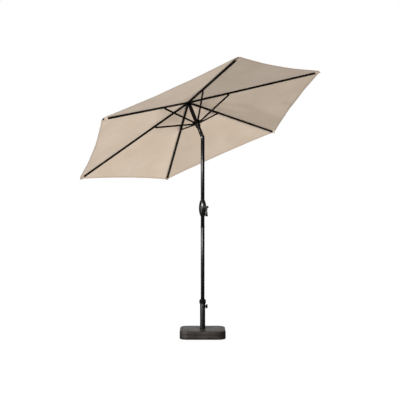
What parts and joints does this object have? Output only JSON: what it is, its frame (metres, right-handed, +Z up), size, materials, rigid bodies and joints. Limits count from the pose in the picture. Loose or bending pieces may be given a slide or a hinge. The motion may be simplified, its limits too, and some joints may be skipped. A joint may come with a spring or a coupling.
{
  "type": "patio umbrella with base",
  "caption": "Tilting market umbrella with a beige hexagonal canopy, sliding runner with struts, crank lift, dark two-part pole and a square weighted base with a clamp screw.",
  "frame": {"origin": "on the floor, on the axis of the pole, at the middle of the base's underside", "axes": "+Z up along the pole, +X out along the clamp screw in the base's stem, +Y to the back of the base"},
  "size_m": [2.3917, 2.324, 2.6157],
  "materials": {
    "rubber": "matt black rubber",
    "cast_iron": "raw casting, painted black",
    "base_plastic": "satin, fine grained moulding",
    "pole_paint": "satin dark bronze powder coat",
    "frame_paint": "satin dark brown powder coat",
    "knuckle_metal": "die-cast, satin black",
    "black_plastic": "satin black moulding",
    "grip_plastic": "dull brown-grey moulding",
    "steel": "zinc plated",
    "nylon": "natural nylon",
    "canopy_fabric": "woven beige polyester"
  },
  "bodies": {
    "base": {"floor_pad": "rubber", "ballast_plate": "cast_iron", "base_cover": "base_plastic", "base_top_panel": "base_plastic", "base_stem": "pole_paint", "stem_bolt_1": "steel", "stem_bolt_2": "steel", "stem_bolt_3": "steel", "stem_bolt_4": "steel", "stem_collar": "black_plastic"},
    "clamp_screw": {"clamp_stud": "steel"},
    "clamp_handle": {"clamp_knob": "black_plastic"},
    "pole": {"pole_foot_plug": "black_plastic", "lower_pole": "pole_paint", "pole_coupler": "black_plastic", "middle_pole": "pole_paint", "crank_housing_front": "black_plastic", "crank_housing_back": "black_plastic", "housing_screw_upper": "steel", "housing_screw_lower": "steel", "lower_knuckle": "knuckle_metal", "tilt_pin": "steel"},
    "tilt_button": {"tilt_button": "black_plastic"},
    "crank": {"crank_arm": "black_plastic", "cord_spool": "nylon"},
    "grip_pin": {"crank_grip_pin": "steel"},
    "grip": {"crank_grip": "grip_plastic"},
    "mast": {"upper_knuckle": "knuckle_metal", "upper_pole": "pole_paint", "top_hub": "black_plastic", "hub_ring": "steel", "finial": "black_plastic"},
    "pulley": {"cord_pulley": "steel"},
    "runner": {"runner": "black_plastic", "runner_ring": "steel"},
    "rib_1": {"rib_1": "frame_paint", "rib_cap_1": "black_plastic", "canopy_section_1": "canopy_fabric"},
    "strut_1": {"strut_1": "frame_paint"},
    "rib_2": {"rib_2": "frame_paint", "rib_cap_2": "black_plastic", "canopy_section_2": "canopy_fabric"},
    "strut_2": {"strut_2": "frame_paint"},
    "rib_3": {"rib_3": "frame_paint", "rib_cap_3": "black_plastic", "canopy_section_3": "canopy_fabric"},
    "strut_3": {"strut_3": "frame_paint"},
    "rib_4": {"rib_4": "frame_paint", "rib_cap_4": "black_plastic", "canopy_section_4": "canopy_fabric"},
    "strut_4": {"strut_4": "frame_paint"},
    "rib_5": {"rib_5": "frame_paint", "rib_cap_5": "black_plastic", "canopy_section_5": "canopy_fabric"},
    "strut_5": {"strut_5": "frame_paint"},
    "rib_6": {"rib_6": "frame_paint", "rib_cap_6": "black_plastic", "canopy_section_6": "canopy_fabric"},
    "strut_6": {"strut_6": "frame_paint"}
  },
  "joints": [
    {"name": "pole_swivel", "type": "hinge", "parent": "base", "child": "pole", "pos_m": [0, 0, 0.2], "axis": [0, 0, 1], "continuous": true},
    {"name": "clamp_slide", "type": "slide", "parent": "base", "child": "clamp_screw", "axis": [1, 0, 0], "range_m": [0, 0.006]},
    {"name": "clamp_turn", "type": "hinge", "parent": "clamp_screw", "child": "clamp_handle", "pos_m": [0.03, 0, 0.299], "axis": [1, 0, 0], "range_deg": [0, 1080]},
    {"name": "tilt", "type": "hinge", "parent": "pole", "child": "mast", "pos_m": [0, 0, 1.975], "axis": [-0.6211, -0.7837, 0], "range_deg": [-26.8, 0]},
    {"name": "tilt_button_press", "type": "slide", "parent": "pole", "child": "tilt_button", "axis": [-0.7837, 0.6211, 0], "range_m": [0, 0.0025], "stiffness_N_per_m": 1500},
    {"name": "crank_turn", "type": "hinge", "parent": "pole", "child": "crank", "pos_m": [0, 0, 1.2835], "axis": [0.7837, -0.6211, 0], "range_deg": [0, 577]},
    {"name": "grip_fold", "type": "hinge", "parent": "crank", "child": "grip_pin", "pos_m": [0.03864, -0.03062, 1.2465], "axis": [-0.6211, -0.7837, 0], "range_deg": [0, 90]},
    {"name": "grip_spin", "type": "hinge", "parent": "grip_pin", "child": "grip", "pos_m": [0.03864, -0.03062, 1.2165], "axis": [0, 0, 1], "continuous": true},
    {"name": "pulley_spin", "type": "hinge", "parent": "mast", "child": "pulley", "pos_m": [-0.12191, 0.09662, 2.28294], "axis": [-0.6211, -0.7837, 0], "range_deg": [0, 549]},
    {"name": "runner_slide", "type": "slide", "parent": "mast", "child": "runner", "axis": [0.3533, -0.2801, -0.8926], "range_m": [0, 0.095]},
    {"name": "rib_1_fold", "type": "hinge", "parent": "mast", "child": "rib_1", "pos_m": [-0.17156, 0.1136, 2.3086], "axis": [-0.2153, -0.9529, 0.2138], "range_deg": [0, 8.7], "deforming": ["canopy_section_1"]},
    {"name": "strut_1_fold", "type": "hinge", "parent": "rib_1", "child": "strut_1", "pos_m": [-0.46541, 0.12914, 2.08194], "axis": [-0.2153, -0.9529, 0.2138], "range_deg": [-15.6, 0]},
    {"name": "rib_2_fold", "type": "hinge", "parent": "mast", "child": "rib_2", "pos_m": [-0.16162, 0.08091, 2.32279], "axis": [0.6808, -0.5774, 0.4507], "range_deg": [0, 8.7], "deforming": ["canopy_section_2"]},
    {"name": "strut_2_fold", "type": "hinge", "parent": "rib_2", "child": "strut_2", "pos_m": [-0.3589, -0.22101, 2.23397], "axis": [0.6808, -0.5774, 0.4507], "range_deg": [-15.6, 0]},
    {"name": "rib_3_fold", "type": "hinge", "parent": "mast", "child": "rib_3", "pos_m": [-0.12793, 0.07659, 2.33748], "axis": [0.8961, 0.3754, 0.2369], "range_deg": [0, 8.7], "deforming": ["canopy_section_3"]},
    {"name": "strut_3_fold", "type": "hinge", "parent": "rib_3", "child": "strut_3", "pos_m": [0.00189, -0.26723, 2.3913], "axis": [0.8961, 0.3754, 0.2369], "range_deg": [-15.6, 0]},
    {"name": "rib_4_fold", "type": "hinge", "parent": "mast", "child": "rib_4", "pos_m": [-0.10419, 0.10497, 2.33798], "axis": [0.2153, 0.9529, -0.2138], "range_deg": [0, 8.7], "deforming": ["canopy_section_4"]},
    {"name": "strut_4_fold", "type": "hinge", "parent": "rib_4", "child": "strut_4", "pos_m": [0.25618, 0.0367, 2.3966], "axis": [0.2153, 0.9529, -0.2138], "range_deg": [-15.6, 0]},
    {"name": "rib_5_fold", "type": "hinge", "parent": "mast", "child": "rib_5", "pos_m": [-0.11414, 0.13766, 2.32378], "axis": [-0.6808, 0.5774, -0.4507], "range_deg": [0, 8.7], "deforming": ["canopy_section_5"]},
    {"name": "strut_5_fold", "type": "hinge", "parent": "rib_5", "child": "strut_5", "pos_m": [0.14967, 0.38685, 2.24457], "axis": [-0.6808, 0.5774, -0.4507], "range_deg": [-15.6, 0]},
    {"name": "rib_6_fold", "type": "hinge", "parent": "mast", "child": "rib_6", "pos_m": [-0.14782, 0.14197, 2.30909], "axis": [-0.8961, -0.3754, -0.2369], "range_deg": [0, 8.7], "deforming": ["canopy_section_6"]},
    {"name": "strut_6_fold", "type": "hinge", "parent": "rib_6", "child": "strut_6", "pos_m": [-0.21113, 0.43307, 2.08724], "axis": [-0.8961, -0.3754, -0.2369], "range_deg": [-15.6, 0]}
  ],
  "couplings": [
    {"joint": "clamp_slide", "follows": "clamp_turn", "m_per_rad": 0.00031831},
    {"joint": "crank_turn", "follows": "runner_slide", "rad_per_m": 105.26},
    {"joint": "pulley_spin", "follows": "runner_slide", "rad_per_m": 100},
    {"joint": "rib_1_fold", "follows": "runner_slide", "rad_per_m": 1.589},
    {"joint": "strut_1_fold", "follows": "runner_slide", "rad_per_m": -2.8583},
    {"joint": "rib_2_fold", "follows": "runner_slide", "rad_per_m": 1.589},
    {"joint": "strut_2_fold", "follows": "runner_slide", "rad_per_m": -2.8583},
    {"joint": "rib_3_fold", "follows": "runner_slide", "rad_per_m": 1.589},
    {"joint": "strut_3_fold", "follows": "runner_slide", "rad_per_m": -2.8583},
    {"joint": "rib_4_fold", "follows": "runner_slide", "rad_per_m": 1.589},
    {"joint": "strut_4_fold", "follows": "runner_slide", "rad_per_m": -2.8583},
    {"joint": "rib_5_fold", "follows": "runner_slide", "rad_per_m": 1.589},
    {"joint": "strut_5_fold", "follows": "runner_slide", "rad_per_m": -2.8583},
    {"joint": "rib_6_fold", "follows": "runner_slide", "rad_per_m": 1.589},
    {"joint": "strut_6_fold", "follows": "runner_slide", "rad_per_m": -2.8583}
  ]
}
